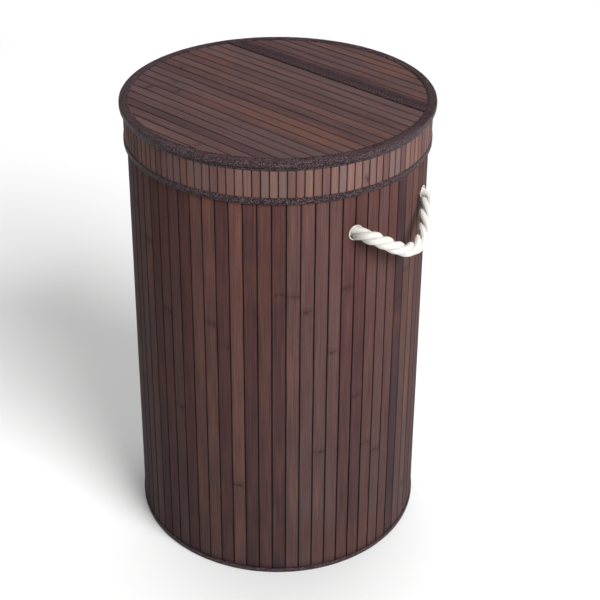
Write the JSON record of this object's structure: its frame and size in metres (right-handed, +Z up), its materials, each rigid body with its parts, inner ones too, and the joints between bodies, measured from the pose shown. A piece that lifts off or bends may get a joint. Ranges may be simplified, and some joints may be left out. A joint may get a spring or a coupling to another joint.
{
  "type": "laundry hamper",
  "caption": "Round slatted bamboo laundry hamper with a cloth-bound slip-over lid, a folding front flap, twisted rope side handles and a hanging cloth liner",
  "frame": {"origin": "centre of the foot on the floor, under the middle of the round base", "axes": "+Z up along the hamper's height; -Y towards the front, where the lid's flap lifts; +X and -X towards the two rope handles"},
  "size_m": [0.427, 0.374, 0.58],
  "materials": {
    "wall_bamboo": "dark stained bamboo slats, satin",
    "skirt_bamboo": "stained bamboo slats, a little lighter, satin",
    "lid_bamboo": "dark stained bamboo slats, satin",
    "lid_board": "thin hardboard",
    "base_board": "hardboard",
    "binding_tape": "dark woven cotton tape",
    "backing_cloth": "dark plain-woven cloth",
    "liner_cotton": "natural cotton cloth",
    "rope_cotton": "twisted cotton rope, off-white",
    "eyelet_enamel": "cream enamel, semi-gloss",
    "washer_steel": "plated steel washer"
  },
  "bodies": {
    "basket": {"wall_slats": "wall_bamboo", "wall_backing": "backing_cloth", "wall_seam_tape": "binding_tape", "wall_rim_binding": "binding_tape", "foot_binding": "binding_tape", "base_cloth": "backing_cloth", "base_board": "base_board", "liner_bag": "liner_cotton", "rope_eyelets_right": "eyelet_enamel", "rope_eyelets_left": "eyelet_enamel", "eyelet_washers_right": "washer_steel", "eyelet_washers_left": "washer_steel", "rope_ends_right": "rope_cotton", "rope_ends_left": "rope_cotton"},
    "lid": {"skirt_slats": "skirt_bamboo", "skirt_backing": "backing_cloth", "skirt_hem_binding": "binding_tape", "skirt_head_binding": "binding_tape", "lid_rear_slats": "lid_bamboo", "lid_rear_board": "lid_board", "lid_rear_lining": "backing_cloth", "lid_rear_binding": "binding_tape", "fold_tape": "binding_tape"},
    "flap": {"flap_slats": "lid_bamboo", "flap_board": "lid_board", "flap_lining": "backing_cloth", "flap_binding": "binding_tape"},
    "handle_right": {"rope_handle_right": "rope_cotton"},
    "handle_left": {"rope_handle_left": "rope_cotton"}
  },
  "joints": [
    {"name": "lid_lift", "type": "slide", "parent": "basket", "child": "lid", "axis": [0, 0, 1], "range_m": [0, 0.12]},
    {"name": "flap_fold", "type": "hinge", "parent": "lid", "child": "flap", "pos_m": [0, 0.076, 0.58], "axis": [-1, 0, 0], "range_deg": [0, 175]},
    {"name": "handle_right_swing", "type": "hinge", "parent": "basket", "child": "handle_right", "pos_m": [0.17857, 0.00802, 0.48], "axis": [0.0449, -0.999, 0], "range_deg": [0, 90]},
    {"name": "handle_left_swing", "type": "hinge", "parent": "basket", "child": "handle_left", "pos_m": [-0.17857, -0.00802, 0.48], "axis": [-0.0449, 0.999, 0], "range_deg": [0, 90]}
  ]
}
